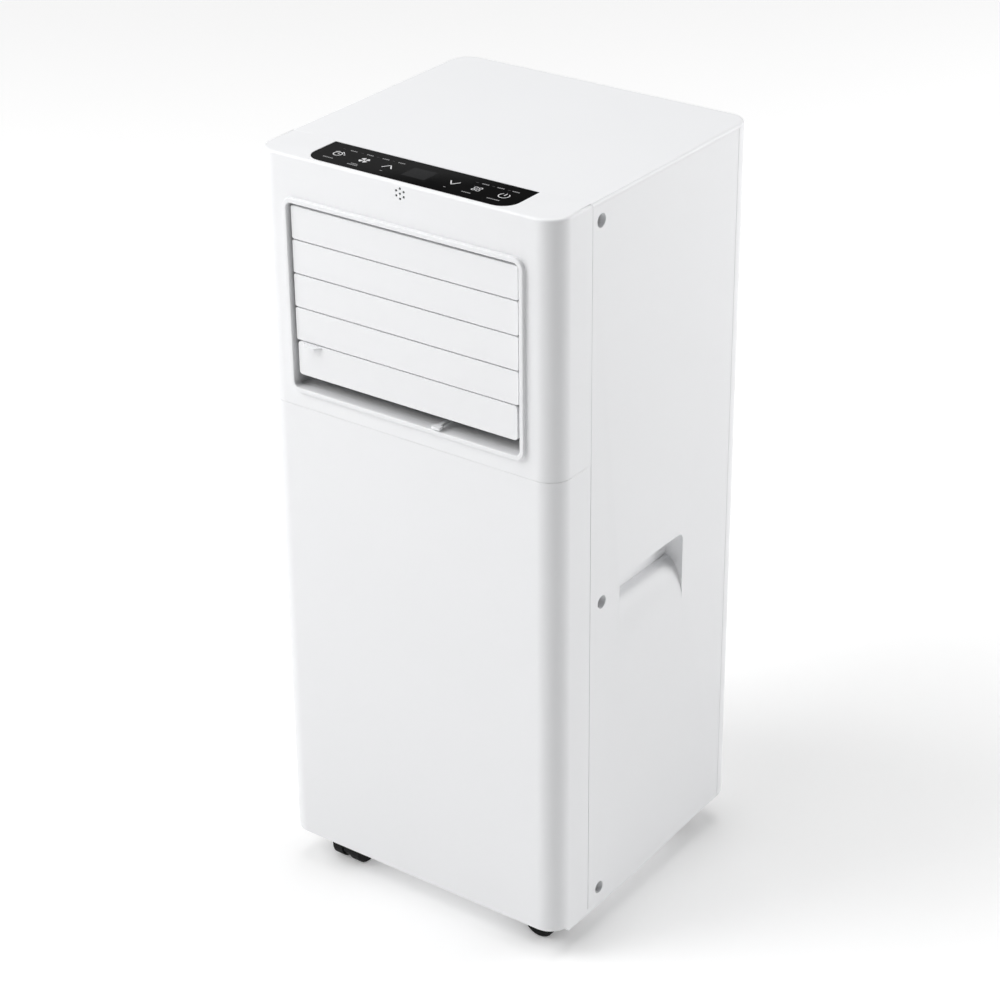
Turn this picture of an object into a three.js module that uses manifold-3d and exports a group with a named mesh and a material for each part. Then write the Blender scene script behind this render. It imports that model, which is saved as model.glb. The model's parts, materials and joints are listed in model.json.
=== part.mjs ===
// Portable air conditioner on castors, as an assembly of separate pieces.
// Millimetres. +Z is up, the air outlet faces -Y, and the origin is on the floor under the
// middle of the casing.
import * as THREE from 'three';
import { mergeVertices } from 'three/addons/utils/BufferGeometryUtils.js';
import Module from 'manifold-3d';

const wasm = await Module();
wasm.setup();

// ---- Driving dimensions ----------------------------------------------------------------
const WIDTH = 300;
const DEPTH = 288;
const HEIGHT = 700;
const CORNER = 20; // upright corner radius of the casing
const WALL = 2.5; // moulded wall
const GAP = 0.3; // between pieces that touch
const SEAM = 0.5; // visible line between outer panels
const CASING_BOTTOM = 33; // lower edge of the panels above the floor
const FRONT_SEAM_Y = -95; // front panels to side panels and top cover
const REAR_SEAM_Y = 121.5; // side panels to rear panel
const MID_SEAM_Z = 475; // upper front panel to lower front panel
const COVER_SEAM_Z = 696.5; // top cover to side and rear panels

const HALF_W = WIDTH / 2;
const HALF_D = DEPTH / 2;
const INNER_X = HALF_W - WALL;
const INNER_Y = HALF_D - WALL;

// Air outlet
const OUTLET_HALF_W = 116.2;
const OUTLET_BOTTOM = 494;
const OUTLET_TOP = 660;
const OUTLET_CORNER = 5;
const RIM_WIDTH = 4.2;
const RIM_PROUD = 3.5;

// Louvre blades
const BLADE_COUNT = 5;
const BLADE_PITCH = 30.1;
const BLADE_HEIGHT = 28.9;
const LAST_BLADE_EXTRA = 1.5; // the last blade reaches further down
const BLADE_TOP = 656.8;
const BLADE_HALF_LENGTH = 113.4;
const BLADE_FACE_Y = -144.2;
const BLADE_THICK = 3;
const BLADE_AXIS_Y = -133.2;
const BLADE_PIN_R = 2;
const TAB_REACH = 5.5; // the tip stands 2.2 in front of the rim
const SMALL_PIN_R = 1.5; // crank and vane pins
const SMALL_BORE_R = 1.8;
const CRANK_X = 120.2;
const CRANK_LENGTH = 10;
const LINK_THICK = 2.6;

// Upright vanes behind the blades
const VANE_COUNT = 5;
const VANE_PITCH = 46;
const VANE_AXIS_Y = -90;
const VANE_FRONT_Y = -108;
const VANE_REAR_Y = -74;
const VANE_BOTTOM = 501;
const VANE_TOP = 655;
const VANE_LINK_PIN_Y = -103;
const LEVER_X = 33.5;
const LEVER_FRONT_Y = -149.2;

// Duct between outlet and blower
const DUCT_FLOOR = 493;
const DUCT_CEILING = 661;
const DUCT_HALF_W = 116.6;
const DUCT_FRONT_Y = -INNER_Y + GAP;
const DUCT_REAR_Y = -68;

// Carrying scoop in each side panel
const SCOOP_FRONT_Y = -50.5;
const SCOOP_REAR_Y = 49;
const SCOOP_BOTTOM = 282;
const SCOOP_TOP = 349.2;
const SCOOP_DEPTH = 17.9;
const SCOOP_SHELF_Z = 322; // where the curved floor meets the back wall
const SCOOP_CORNER = 7;

// Side screws, each in a round pocket
const SCREWS = [
  { y: -82.8, z: 682.6, place: 'upper' },
  { y: -77.5, z: 339, place: 'middle' },
  { y: -77.7, z: 47, place: 'lower' },
];
const POCKET_R = 6;
const POCKET_DEPTH = 8;
const POCKET_FLOOR = 2;

// Castors
const WHEEL_R = 16;
const WHEEL_TRAIL = 11.5;
const WHEEL_OUTER = 16.4;
const WHEEL_INNER = 4.6;
const AXLE_R = 2.5;
const FORK_PLATE_R = 14.4;
const CASTOR_X = 99.5;
const CASTOR_Y = 100;
const TRAY_BOTTOM = 36;
const TRAY_FLOOR = 39;

// Rear panel
const FILTER_HALF_W = 114.5;
const FILTER_BOTTOM = 452;
const FILTER_TOP = 672;
const EXHAUST_Z = 345;
const EXHAUST_R = 66;
const EXHAUST_BORE = 59;
const GLAND = { x: 112, z: 300, r: 7 };
const DRAIN = { x: -60, z: 50, r: 6.4 };
const REAR_PROUD = 5.7; // the exhaust collar reaches as far back as the thumb tab reaches forward

// Insides
const DECK_BOTTOM = 425;
const DECK_TOP = 428;
const EVAP_BLOWER = { y: 15, z: 575, r: 72, halfWidth: 88 };
const COND_BLOWER = { x: 25, z: 165, r: 58, y0: 44, y1: 94 };
const COIL_FRONT_Y = 104;
const COIL_REAR_Y = 130;
const COMPRESSOR = { x: -75, y: -65, r: 46, bottom: 52, top: 226 };
const PIPE_R = 4;

// ---- Colours -----------------------------------------------------------------------------
const COLOURS = {
  shell: { color: 0xf0f0f2, roughness: 0.42, metalness: 0 },
  louvre: { color: 0xeeeeef, roughness: 0.42, metalness: 0 },
  duct: { color: 0xd9dadc, roughness: 0.5, metalness: 0 },
  lens: { color: 0x101011, roughness: 0.08, metalness: 0 },
  castor: { color: 0x1c1c1d, roughness: 0.5, metalness: 0 },
  steel: { color: 0xa9abad, roughness: 0.35, metalness: 1 },
  coil: { color: 0xc3c6c9, roughness: 0.4, metalness: 1 },
  copper: { color: 0xb87348, roughness: 0.35, metalness: 1 },
  black: { color: 0x252527, roughness: 0.6, metalness: 0 },
  board: { color: 0x1f5a36, roughness: 0.55, metalness: 0 },
  foam: { color: 0xe4e2dc, roughness: 0.9, metalness: 0 },
  mesh: { color: 0x3a3c40, roughness: 0.8, metalness: 0 },
};

// ---- Geometry helpers ----------------------------------------------------------------------
function signedVolume(geometry) {
  const p = geometry.attributes.position;
  const ids = geometry.index.array;
  const a = new THREE.Vector3();
  const b = new THREE.Vector3();
  const c = new THREE.Vector3();
  let total = 0;
  for (let i = 0; i < ids.length; i += 3) {
    a.fromBufferAttribute(p, ids[i]);
    b.fromBufferAttribute(p, ids[i + 1]);
    c.fromBufferAttribute(p, ids[i + 2]);
    total += a.dot(b.cross(c)) / 6;
  }
  return total;
}

// A closed geometry with shared vertices and faces pointing out, as a manifold solid.
function solid(geometry) {
  const bare = geometry.clone();
  bare.deleteAttribute('normal');
  bare.deleteAttribute('uv');
  const merged = mergeVertices(bare, 1e-4);
  const ids = Uint32Array.from(merged.index.array);
  if (signedVolume(merged) < 0) ids.reverse();
  const vertProperties = Float32Array.from(merged.attributes.position.array);
  return new wasm.Manifold(new wasm.Mesh({ numProp: 3, vertProperties, triVerts: ids }));
}

function geometryOf(manifold) {
  const mesh = manifold.getMesh();
  const geometry = new THREE.BufferGeometry();
  geometry.setAttribute('position', new THREE.BufferAttribute(mesh.vertProperties, 3));
  geometry.setIndex(new THREE.BufferAttribute(mesh.triVerts, 1));
  return geometry;
}

function join(...geometries) {
  return geometryOf(geometries.map(solid).reduce((a, b) => a.add(b)));
}

function cut(base, ...tools) {
  return geometryOf(tools.map(solid).reduce((a, b) => a.subtract(b), solid(base)));
}

function common(a, b) {
  return geometryOf(solid(a).intersect(solid(b)));
}

function block(x0, x1, y0, y1, z0, z1) {
  const box = new THREE.BoxGeometry(x1 - x0, y1 - y0, z1 - z0);
  return box.translate((x0 + x1) / 2, (y0 + y1) / 2, (z0 + z1) / 2);
}

// Turns a solid made along Z so that it lies along X, Y or Z instead.
function along(axis, geometry) {
  const cyclic = new THREE.Matrix4().set(0, 0, 1, 0, 1, 0, 0, 0, 0, 1, 0, 0, 0, 0, 0, 1);
  if (axis === 'x') return geometry.applyMatrix4(cyclic);
  if (axis === 'y') return geometry.rotateX(-Math.PI / 2);
  return geometry;
}

function rod(axis, radius, from, to, sides = 16) {
  const cylinder = new THREE.CylinderGeometry(radius, radius, to - from, sides);
  cylinder.rotateX(Math.PI / 2).translate(0, 0, (from + to) / 2);
  return along(axis, cylinder);
}

function extrude(shape, from, to, curveSegments = 3) {
  const options = { depth: to - from, bevelEnabled: false, curveSegments };
  return new THREE.ExtrudeGeometry(shape, options).translate(0, 0, from);
}

// Outline drawn as (y, z), extruded along X.
function plateYZ(shape, x0, x1, curveSegments = 3) {
  return along('x', extrude(shape, x0, x1, curveSegments));
}

// Outline drawn as (x, z), extruded along Y.
function plateXZ(shape, y0, y1, curveSegments = 3) {
  return extrude(shape, -y1, -y0, curveSegments).rotateX(Math.PI / 2);
}

function tracePath(path, x0, x1, y0, y1, radii) {
  const [r00, r10, r11, r01] = radii;
  path.moveTo(x0 + r00, y0);
  path.lineTo(x1 - r10, y0);
  if (r10) path.absarc(x1 - r10, y0 + r10, r10, -Math.PI / 2, 0, false);
  path.lineTo(x1, y1 - r11);
  if (r11) path.absarc(x1 - r11, y1 - r11, r11, 0, Math.PI / 2, false);
  path.lineTo(x0 + r01, y1);
  if (r01) path.absarc(x0 + r01, y1 - r01, r01, Math.PI / 2, Math.PI, false);
  if (r00) path.absarc(x0 + r00, y0 + r00, r00, Math.PI, 1.5 * Math.PI, false);
  return path;
}

function rectangle(x0, x1, y0, y1, radius = 0) {
  return tracePath(new THREE.Shape(), x0, x1, y0, y1, [radius, radius, radius, radius]);
}

function rectangleHole(x0, x1, y0, y1, radius = 0) {
  return tracePath(new THREE.Path(), x0, x1, y0, y1, [radius, radius, radius, radius]);
}

function circleHole(x, y, radius) {
  return new THREE.Path().absarc(x, y, radius, 0, 2 * Math.PI, false);
}

function polygon(points) {
  return new THREE.Shape(points.map(([x, y]) => new THREE.Vector2(x, y)));
}

function lathe(axis, profile, sides = 24) {
  const points = profile.map(([r, h]) => new THREE.Vector2(r, h));
  const turned = new THREE.LatheGeometry(points, sides);
  if (axis === 'z') return turned.rotateX(Math.PI / 2);
  if (axis === 'x') return turned.rotateZ(-Math.PI / 2);
  return turned;
}

function tube(points, radius, steps, sides = 8) {
  const section = new THREE.Shape().absarc(0, 0, radius, 0, 2 * Math.PI, false);
  const corners = points.map((p) => new THREE.Vector3(...p));
  const path = new THREE.CatmullRomCurve3(corners, false, 'catmullrom', 0.3);
  return new THREE.ExtrudeGeometry(section, {
    steps,
    curveSegments: sides / 2,
    bevelEnabled: false,
    extrudePath: path,
  });
}

function part(name, look, geometry, place = [0, 0, 0]) {
  const closed = geometryOf(solid(geometry));
  const mesh = new THREE.Mesh(closed, new THREE.MeshStandardMaterial(COLOURS[look]));
  mesh.name = name;
  mesh.position.set(...place);
  return mesh;
}

// ---- Casing --------------------------------------------------------------------------------
const CORNER_STEPS = 4;

// The casing wall as a tube between two heights.
function casingWall(z0, z1) {
  const outline = rectangle(-HALF_W, HALF_W, -HALF_D, HALF_D, CORNER);
  outline.holes.push(rectangleHole(-INNER_X, INNER_X, -INNER_Y, INNER_Y, CORNER - WALL));
  return extrude(outline, z0, z1, CORNER_STEPS);
}

// The part of the casing top that closes it, one wall thick.
function casingTop() {
  const outline = rectangle(-HALF_W, HALF_W, -HALF_D, HALF_D, CORNER);
  return extrude(outline, HEIGHT - WALL, HEIGHT, CORNER_STEPS);
}

function slice(geometry, y0, y1) {
  return common(geometry, block(-HALF_W - 1, HALF_W + 1, y0, y1, -1, HEIGHT + 1));
}

// Angle bracket inside a front panel that a side screw bites into.
function screwBracket(side, screw) {
  const inner = INNER_X - POCKET_DEPTH - 3.8;
  const outer = inner + 3.5;
  const z0 = screw.z - 3.5;
  const z1 = screw.z + 8;
  const root = FRONT_SEAM_Y - 12;
  const x = (a, b) => (side > 0 ? [a, b] : [-b, -a]);
  const arm = block(...x(inner, outer), root, screw.y + 8, z0, z1);
  const foot = block(...x(inner, INNER_X + 0.5), root, root + 4, z0, z1);
  const bore = rod('x', 2.2, ...x(inner - 1, outer + 1), 8).translate(0, screw.y, screw.z);
  return cut(join(arm, foot), bore);
}

function screwBrackets(screws) {
  return screws.flatMap((screw) => [-1, 1].map((side) => screwBracket(side, screw)));
}

const LENS = { halfWidth: 101.5, front: -139.7, rear: -97.5, radius: 15, thick: 2.2 };

function lensOutline(margin) {
  const { halfWidth, front, rear, radius } = LENS;
  const r = radius + margin;
  const corners = [r, r, 0, 0];
  const x = halfWidth + margin;
  return tracePath(new THREE.Shape(), -x, x, front - margin, rear + margin, corners);
}

function sensorHoles() {
  const spread = 4.25;
  const centre = HEIGHT - 8.7;
  const ring = [0, 1, 2, 3, 4, 5].map((i) => (i * Math.PI) / 3 + Math.PI / 6);
  const spots = ring.map((a) => [spread * Math.cos(a), spread * Math.sin(a)]);
  return [[0, 0], ...spots].map(([dx, dz]) =>
    rod('y', 1.1, -HALF_D - 1, -INNER_Y + 1, 12).translate(dx, 0, centre + dz));
}

function outletRim() {
  const w = OUTLET_HALF_W;
  const e = RIM_WIDTH;
  const outer = rectangle(-w - e, w + e, OUTLET_BOTTOM - e, OUTLET_TOP + e, OUTLET_CORNER + e);
  return plateXZ(outer, -HALF_D - RIM_PROUD, -HALF_D + 0.5);
}

function outletOpening() {
  const w = OUTLET_HALF_W;
  const outline = rectangle(-w, w, OUTLET_BOTTOM, OUTLET_TOP, OUTLET_CORNER);
  return plateXZ(outline, -HALF_D - RIM_PROUD - 1, -INNER_Y + 1);
}

function frontUpperPanel() {
  const shell = join(casingWall(MID_SEAM_Z + SEAM / 2, HEIGHT - 1), casingTop());
  const front = slice(shell, -HALF_D - 1, FRONT_SEAM_Y - SEAM / 2);
  const upperScrews = SCREWS.filter((screw) => screw.place === 'upper');
  const whole = join(front, outletRim(), ...screwBrackets(upperScrews));
  const lensHole = extrude(lensOutline(GAP), HEIGHT - WALL - 1, HEIGHT + 1);
  return cut(whole, outletOpening(), lensHole, ...sensorHoles());
}

function frontLowerPanel() {
  const wall = casingWall(CASING_BOTTOM, MID_SEAM_Z - SEAM / 2);
  const front = slice(wall, -HALF_D - 1, FRONT_SEAM_Y - SEAM / 2);
  const lowerScrews = SCREWS.filter((screw) => screw.place !== 'upper');
  return join(front, ...screwBrackets(lowerScrews));
}

// Section of the right-hand scoop, drawn as (x, z). Its curved floor bulges up and out until
// it is flush with the side. An inset of 0 gives the hollow, and the wall gives what is round it.
function scoopSection(inset) {
  const backX = HALF_W - SCOOP_DEPTH;
  const outerX = inset ? INNER_X + 0.5 : HALF_W + 1;
  const shelf = SCOOP_SHELF_Z - inset;
  const shape = new THREE.Shape();
  shape.moveTo(outerX, SCOOP_TOP + inset);
  shape.lineTo(backX - inset, SCOOP_TOP + inset);
  shape.lineTo(backX - inset, shelf);
  if (inset) shape.lineTo(backX, shelf);
  const rise = shelf - SCOOP_BOTTOM;
  shape.absellipse(backX, SCOOP_BOTTOM, SCOOP_DEPTH - inset, rise, Math.PI / 2, 0, true, 0);
  shape.lineTo(outerX, SCOOP_BOTTOM);
  return shape;
}

function scoopHollow() {
  const section = plateXZ(scoopSection(0), SCOOP_FRONT_Y, SCOOP_REAR_Y, 5);
  const corners = [0, 0, SCOOP_CORNER, SCOOP_CORNER];
  const mouth = tracePath(
    new THREE.Shape(), SCOOP_FRONT_Y, SCOOP_REAR_Y, SCOOP_BOTTOM - 1, SCOOP_TOP, corners);
  return common(section, plateYZ(mouth, INNER_X - SCOOP_DEPTH, HALF_W + 2));
}

function scoopBody() {
  return plateXZ(scoopSection(WALL), SCOOP_FRONT_Y - WALL, SCOOP_REAR_Y + WALL, 5);
}

function pocketBody(screw) {
  const inner = HALF_W - POCKET_DEPTH - POCKET_FLOOR;
  return rod('x', POCKET_R + 1.5, inner, INNER_X + 0.5, 16).translate(0, screw.y, screw.z);
}

function pocketHollow(screw) {
  const well = rod('x', POCKET_R, HALF_W - POCKET_DEPTH, HALF_W + 1, 16);
  const bore = rod('x', 2.3, HALF_W - POCKET_DEPTH - POCKET_FLOOR - 1, HALF_W, 8);
  return join(well, bore).translate(0, screw.y, screw.z);
}

// Made for the right-hand side, and mirrored for the left.
function sidePanel(side) {
  const wall = casingWall(CASING_BOTTOM, COVER_SEAM_Z - SEAM / 2);
  const strip = slice(wall, FRONT_SEAM_Y + SEAM / 2, REAR_SEAM_Y - SEAM / 2);
  const right = common(strip, block(0, HALF_W + 1, -HALF_D, HALF_D, 0, HEIGHT));
  const whole = join(right, scoopBody(), ...SCREWS.map(pocketBody));
  const panel = cut(whole, scoopHollow(), ...SCREWS.map(pocketHollow));
  return panel.scale(side, 1, 1);
}

function topCover() {
  const skirt = casingWall(COVER_SEAM_Z, HEIGHT - 1);
  return slice(join(skirt, casingTop()), FRONT_SEAM_Y + SEAM / 2, HALF_D + 1);
}

function rearSlots() {
  const rows = 10;
  const columns = [[-108, -3], [3, 108]];
  const bottom = 76;
  const pitch = 18;
  const high = 9;
  const heights = Array.from({ length: rows }, (_, i) => bottom + i * pitch);
  return columns.flatMap(([x0, x1]) =>
    heights.map((z) => block(x0, x1, INNER_Y - 1, HALF_D + 1, z, z + high)));
}

function rearPanel() {
  const wall = casingWall(CASING_BOTTOM, COVER_SEAM_Z - SEAM / 2);
  const back = slice(wall, REAR_SEAM_Y + SEAM / 2, HALF_D + 1);
  const w = FILTER_HALF_W + GAP;
  const face = [INNER_Y - 1, HALF_D + 1];
  const filter = block(-w, w, ...face, FILTER_BOTTOM - GAP, FILTER_TOP + GAP);
  const exhaust = rod('y', EXHAUST_R + GAP, ...face, 30).translate(0, 0, EXHAUST_Z);
  const gland = rod('y', GLAND.r + GAP, ...face, 16).translate(GLAND.x, 0, GLAND.z);
  const drain = rod('y', DRAIN.r, ...face, 12).translate(DRAIN.x, 0, DRAIN.z);
  return cut(back, filter, exhaust, gland, drain, ...rearSlots());
}

// ---- Base tray -----------------------------------------------------------------------------
const CASTOR_PLACES = [
  { name: 'front_left', x: -CASTOR_X, y: -CASTOR_Y, turn: 0 },
  { name: 'front_right', x: CASTOR_X, y: -CASTOR_Y, turn: Math.PI / 2 },
  { name: 'rear_left', x: -CASTOR_X, y: CASTOR_Y, turn: Math.PI },
  { name: 'rear_right', x: CASTOR_X, y: CASTOR_Y, turn: Math.PI / 2 },
];
const STEM_R = 5;

function traySkirt(side) {
  const outline = polygon([
    [-128, TRAY_BOTTOM + 1], [-120, 24], [-20, 23], [112, 30], [118, TRAY_BOTTOM + 1],
  ]);
  const strip = plateYZ(outline, INNER_X - 4, INNER_X - 0.8);
  return side > 0 ? strip : strip.scale(-1, 1, 1);
}

function baseTray() {
  const x = INNER_X - GAP;
  const y = INNER_Y - GAP;
  const floorOutline = rectangle(-x, x, -y, y, CORNER - WALL);
  const floor = extrude(floorOutline, TRAY_BOTTOM, TRAY_FLOOR, CORNER_STEPS);
  const curb = rectangle(-132, 132, -136, 136, 8);
  curb.holes.push(rectangleHole(-130.2, 130.2, -134, 134, 6));
  const bosses = CASTOR_PLACES.map((c) =>
    rod('z', STEM_R + 4, TRAY_BOTTOM, 51, 12).translate(c.x, c.y, 0));
  const bores = CASTOR_PLACES.map((c) =>
    rod('z', STEM_R + 0.5, TRAY_BOTTOM - 1, 52, 12).translate(c.x, c.y, 0));
  const spout = rod('y', DRAIN.r + 2.4, 133, INNER_Y - GAP, 12).translate(DRAIN.x, 0, DRAIN.z);
  const spoutBore = rod('y', DRAIN.r, 130, INNER_Y + 1, 12).translate(DRAIN.x, 0, DRAIN.z);
  const walls = extrude(curb, TRAY_BOTTOM, 54, 2);
  const whole = join(floor, walls, traySkirt(1), traySkirt(-1), spout, ...bosses);
  return cut(whole, spoutBore, ...bores);
}

// ---- Castors: made with the swivel axis on the origin's vertical, trailing towards -Y -------
function castorFork() {
  const web = new THREE.Shape();
  // A round plate between the wheels, with its rim just inside theirs.
  web.absarc(-WHEEL_TRAIL, WHEEL_R, FORK_PLATE_R, Math.PI, 1.75 * Math.PI, false);
  web.lineTo(6, 30);
  web.lineTo(6, 34);
  web.lineTo(-WHEEL_TRAIL - FORK_PLATE_R, 34);
  const hood = new THREE.Shape();
  hood.absarc(-WHEEL_TRAIL, WHEEL_R, WHEEL_R + 2.4, 0.1 * Math.PI, 0.9 * Math.PI, false);
  hood.absarc(-WHEEL_TRAIL, WHEEL_R, WHEEL_R + 0.7, 0.9 * Math.PI, 0.1 * Math.PI, true);
  const halfWeb = WHEEL_INNER - 0.6;
  const crown = rod('z', 12, WHEEL_R * 2 + 0.8, TRAY_BOTTOM - 0.4, 16);
  const stem = rod('z', STEM_R, 33, 50, 12);
  const axleBore = rod('x', AXLE_R + 0.25, -halfWeb - 1, halfWeb + 1, 12);
  axleBore.translate(0, -WHEEL_TRAIL, WHEEL_R);
  const body = join(
    plateYZ(web, -halfWeb, halfWeb),
    plateYZ(hood, -WHEEL_OUTER, WHEEL_OUTER, 6),
    crown,
    stem,
  );
  return cut(body, axleBore);
}

// Two wheels on one axle, centred on the origin, along X.
function castorWheels() {
  const rim = WHEEL_R;
  const half = [
    [0, WHEEL_OUTER], [rim - 1.6, WHEEL_OUTER], [rim, WHEEL_OUTER - 1.6], [rim, WHEEL_INNER],
    [AXLE_R, WHEEL_INNER],
  ];
  const mirrored = half.map(([r, h]) => [r, -h]).reverse();
  return lathe('x', [...half, ...mirrored], 24);
}

// ---- Air outlet ----------------------------------------------------------------------------
const bladeAxisZ = (i) => BLADE_TOP - BLADE_HEIGHT / 2 - i * BLADE_PITCH;
const vaneX = (i) => (i - (VANE_COUNT - 1) / 2) * VANE_PITCH;
const indices = (count) => Array.from({ length: count }, (_, i) => i);

function outletDuct() {
  const w = DUCT_HALF_W;
  const t = WALL;
  const z0 = DUCT_FLOOR;
  const z1 = DUCT_CEILING;
  const outer = block(-w - t, w + t, DUCT_FRONT_Y, DUCT_REAR_Y, z0 - t, z1 + t);
  const inner = block(-w, w, DUCT_FRONT_Y - 1, DUCT_REAR_Y + 1, z0, z1);
  const bladeBores = indices(BLADE_COUNT).map((i) =>
    rod('x', BLADE_PIN_R + 0.4, -w - t - 1, w + t + 1, 8)
      .translate(0, BLADE_AXIS_Y, bladeAxisZ(i)));
  const vaneBores = indices(VANE_COUNT).map((i) =>
    rod('z', SMALL_BORE_R, z0 - t - 1, z1 + t + 1, 8).translate(vaneX(i), VANE_AXIS_Y, 0));
  return cut(outer, inner, ...bladeBores, ...vaneBores);
}

// One blade about its own pivot: a plate in front, an ear at each end back to the pin, and a
// crank outside the duct on the right. The last blade also carries the thumb tab.
function louvreBlade(hasTab) {
  const face = BLADE_FACE_Y - BLADE_AXIS_Y;
  const back = face + BLADE_THICK;
  const h = BLADE_HEIGHT / 2;
  const half = BLADE_HALF_LENGTH - (hasTab ? 1.3 : 0);
  const low = hasTab ? -h - LAST_BLADE_EXTRA : -h;
  const plate = plateXZ(rectangle(-half, half, low, h, hasTab ? 3 : 1.5), face, back, 2);
  const ear = polygon([[back - 0.5, -7], [1, -BLADE_PIN_R], [BLADE_PIN_R, 0], [1, 2], [back - 0.5, 7]]);
  const rightEar = plateYZ(ear, half - 2.4, half);
  const leftEar = plateYZ(ear, -half, -half + 2.4);
  const rightPin = rod('x', BLADE_PIN_R, half - 1, CRANK_X + 1, 8);
  const leftPin = rod('x', BLADE_PIN_R, -DUCT_HALF_W - WALL + 0.3, -half + 1, 8);
  const crank = plateYZ(rectangle(-3, CRANK_LENGTH + 3, -3, 3, 2.9), CRANK_X, CRANK_X + 2.2, 2);
  const crankPin = rod('x', SMALL_PIN_R, CRANK_X + 1, CRANK_X + 2.6 + LINK_THICK, 8);
  crankPin.translate(0, CRANK_LENGTH, 0);
  const pieces = [plate, rightEar, leftEar, rightPin, leftPin, crank, crankPin];
  if (hasTab) pieces.push(thumbTab(face));
  return join(...pieces);
}

// Finger tab near the top left corner, narrower at its tip than at its root.
function thumbTab(face) {
  const root = [-106.6, -86.6];
  const tip = face - TAB_REACH;
  const outline = polygon([
    [root[0], face + 0.5], [root[0], face], [root[0] + 5, tip], [root[1] - 5, tip],
    [root[1], face], [root[1], face + 0.5],
  ]);
  return extrude(outline, 12.2, 13.8);
}

// Bar on the five crank pins, about the first pin.
function louvreLink() {
  const low = -(BLADE_COUNT - 1) * BLADE_PITCH;
  const x0 = CRANK_X + 2.5;
  const bar = plateYZ(rectangle(-3, 3, low - 3, 3, 2.9), x0, x0 + LINK_THICK, 2);
  const bores = indices(BLADE_COUNT).map((i) =>
    rod('x', SMALL_BORE_R, x0 - 1, x0 + LINK_THICK + 1, 8).translate(0, 0, -i * BLADE_PITCH));
  return cut(bar, ...bores);
}

// One upright vane about its own pivot, with a pin for the link bar under its front edge.
function vane() {
  const section = polygon([
    [-0.5, VANE_FRONT_Y - VANE_AXIS_Y], [0.5, VANE_FRONT_Y - VANE_AXIS_Y],
    [1.2, 0], [0.5, VANE_REAR_Y - VANE_AXIS_Y], [-0.5, VANE_REAR_Y - VANE_AXIS_Y], [-1.2, 0],
  ]);
  const plate = extrude(section, VANE_BOTTOM, VANE_TOP);
  const lowPin = rod('z', SMALL_PIN_R, DUCT_FLOOR - WALL + 0.3, VANE_BOTTOM + 8, 8);
  const highPin = rod('z', SMALL_PIN_R, VANE_TOP - 8, DUCT_CEILING + WALL - 0.3, 8);
  const linkPin = rod('z', SMALL_PIN_R, DUCT_FLOOR + 1.2, VANE_BOTTOM + 8, 8);
  linkPin.translate(0, VANE_LINK_PIN_Y - VANE_AXIS_Y, 0);
  return join(plate, lowPin, highPin, linkPin);
}

// Bar on the five vane pins, with the T-shaped lever that reaches out over the outlet's lip.
function vaneLink() {
  const z0 = DUCT_FLOOR + 3;
  const z1 = z0 + 2.2;
  const y = VANE_LINK_PIN_Y;
  const bar = rectangle(vaneX(0) - 4, vaneX(VANE_COUNT - 1) + 4, y - 3, y + 3, 2.9);
  const stem = rectangle(LEVER_X - 1.7, LEVER_X + 1.7, LEVER_FRONT_Y + 1, y, 0);
  const pad = rectangle(LEVER_X - 4.3, LEVER_X + 4.3, LEVER_FRONT_Y, LEVER_FRONT_Y + 5.5, 1);
  const bores = indices(VANE_COUNT).map((i) =>
    rod('z', SMALL_BORE_R, z0 - 1, z1 + 1, 8).translate(vaneX(i), y, 0));
  const flat = join(extrude(bar, z0, z1, 2), extrude(stem, z0, z1), extrude(pad, z0, z1, 2));
  return cut(flat, ...bores);
}

// ---- Blowers -------------------------------------------------------------------------------
// A drum of slats between two end rings, on a hub disc, with its shaft. It turns about its own
// origin, and its lengths are measured along the shaft.
function fanWheel(axis, { radius, from, to, slats, discAt, shaft }) {
  const inner = radius * 0.8;
  const sides = 18;
  const ring = (a, b) =>
    lathe(axis, [[inner, a], [radius, a], [radius, b], [inner, b], [inner, a]], sides);
  const hub = [[0, -12], [10, -12], [10, -1.5], [radius - 1, -1.5]];
  const lower = hub.map(([r, h]) => [r, discAt + h]);
  const upper = hub.map(([r, h]) => [r, discAt - h]).reverse();
  const drum = indices(slats).map((i) => {
    const slat = new THREE.BoxGeometry(radius - inner - 1.6, 1.4, to - from - 1);
    slat.rotateZ(0.5).translate((radius + inner) / 2, 0, (from + to) / 2);
    return along(axis, slat.rotateZ((i * 2 * Math.PI) / slats));
  });
  const disc = lathe(axis, [...lower, ...upper], sides);
  return join(ring(from, from + 3), ring(to - 3, to), disc, rod(axis, 4, ...shaft, 8), ...drum);
}

const EVAP_CASE = { halfWidth: 114.3, y0: DUCT_REAR_Y + GAP, y1: 99.5, z0: 491.5, z1: 661.5 };

// Round-backed case open to the duct in front, with an air inlet in each side.
function evapBlowerHousing() {
  const { halfWidth, y0, y1, z0, z1 } = EVAP_CASE;
  const t = 2;
  const round = (z1 - z0) / 2 - 1;
  const hollow = round - t;
  const outer = tracePath(new THREE.Shape(), y0, y1, z0, z1, [0, round, round, 0]);
  const inner = tracePath(
    new THREE.Shape(), y0 - 2, y1 - t, z0 + t, z1 - t, [0, hollow, hollow, 0]);
  const inlets = rod('x', 56, -halfWidth - 1, halfWidth + 1, 20);
  return cut(
    plateYZ(outer, -halfWidth, halfWidth, 5),
    plateYZ(inner, -halfWidth + t, halfWidth - t, 5),
    inlets.translate(0, EVAP_BLOWER.y, EVAP_BLOWER.z),
  );
}

const COND_CASE = { y0: 38, y1: 100, radius: 76, chimney: 72, shoulder: 262, top: 415 };

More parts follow.
